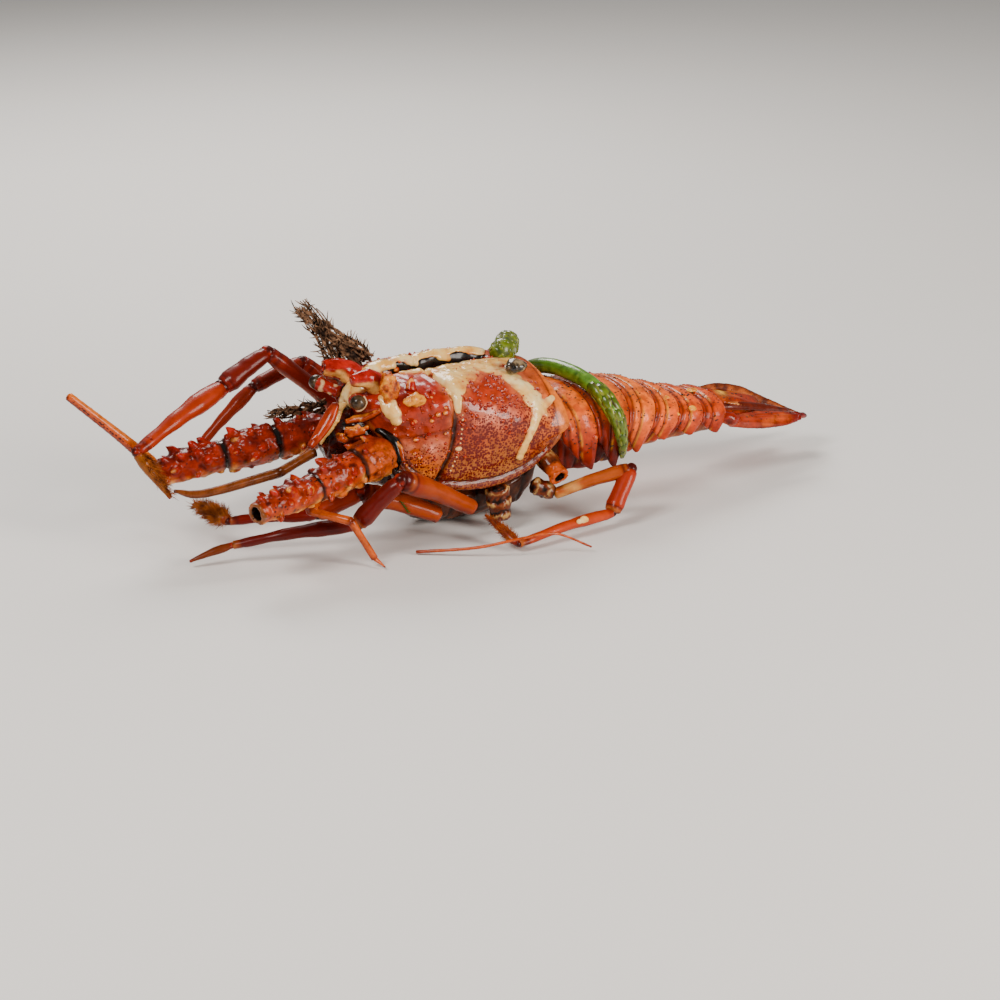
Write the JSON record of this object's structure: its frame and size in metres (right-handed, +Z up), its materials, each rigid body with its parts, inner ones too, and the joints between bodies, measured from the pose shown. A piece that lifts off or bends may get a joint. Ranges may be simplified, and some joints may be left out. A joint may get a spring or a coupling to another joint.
{
  "type": "cooked spiny lobster",
  "caption": "Whole cooked spiny lobster lying on its breast, the shell slit along the top, with legs, antennae, tail fan, asparagus and burnt herbs.",
  "frame": {"origin": "middle of the small flat under the breast, where the lobster rests", "axes": "+X from head to tail, +Y to the lobster's right, +Z up"},
  "size_m": [0.4584, 0.1749, 0.1317],
  "materials": {
    "shell": "glossy oily orange-red shell",
    "tail_shell": "glossy salmon-orange tail shell with fine dark specks",
    "red_shell": "glossy deep red spiny shell",
    "flesh": "brown breast and leg sockets",
    "dark_head": "wet dark head front",
    "eye": "dark brown eye",
    "bristles": "golden brown bristles",
    "asparagus": "oiled green asparagus",
    "herb": "burnt dark herb sprig",
    "fried": "golden fried crumb and browned cheese",
    "mushroom": "dark wet grilled mushroom"
  },
  "bodies": {
    "root": {"abdomen_1": "tail_shell", "abdomen_2": "tail_shell", "abdomen_3": "tail_shell", "abdomen_4": "tail_shell", "abdomen_5": "tail_shell", "abdomen_6": "tail_shell", "antenna_left_1": "red_shell", "antenna_left_2": "red_shell", "antenna_left_3": "red_shell", "antenna_right_1": "red_shell", "antenna_right_2": "red_shell", "antenna_right_3": "red_shell", "antennule_left": "red_shell", "antennule_right": "shell", "asparagus_bud": "asparagus", "asparagus_spear": "asparagus", "breast": "flesh", "carapace": "shell", "cheese_nugget": "fried", "crust_chunk": "fried", "eye_left": "eye", "eye_right": "eye", "flagellum_right": "shell", "head_front": "dark_head", "leg_left1_knee": "red_shell", "leg_left1_shin": "red_shell", "leg_left1_thigh": "shell", "leg_left1_toe": "bristles", "leg_left2_knee": "red_shell", "leg_left2_shin": "red_shell", "leg_left2_thigh": "shell", "leg_left2_toe": "bristles", "leg_left4_basis": "shell", "leg_left4_knee": "red_shell", "leg_left4_shin": "red_shell", "leg_left4_thigh": "shell", "leg_left4_toe": "bristles", "leg_right1_knee": "red_shell", "leg_right1_shin": "red_shell", "leg_right1_thigh": "shell", "leg_right1_toe": "bristles", "leg_right2_knee": "red_shell", "leg_right2_shin": "red_shell", "leg_right2_thigh": "shell", "leg_right2_toe": "bristles", "leg_right3": "shell", "leg_right4": "shell", "leg_right5": "shell", "mushroom": "mushroom", "palp_left": "shell", "sprig_large": "herb", "sprig_small": "herb", "stump_left3": "flesh", "stump_left5": "flesh", "telson": "tail_shell", "uropod_left_inner": "tail_shell", "uropod_left_outer": "tail_shell", "uropod_right_inner": "tail_shell", "uropod_right_outer": "tail_shell", "whisker": "shell"}
  },
  "joints": []
}
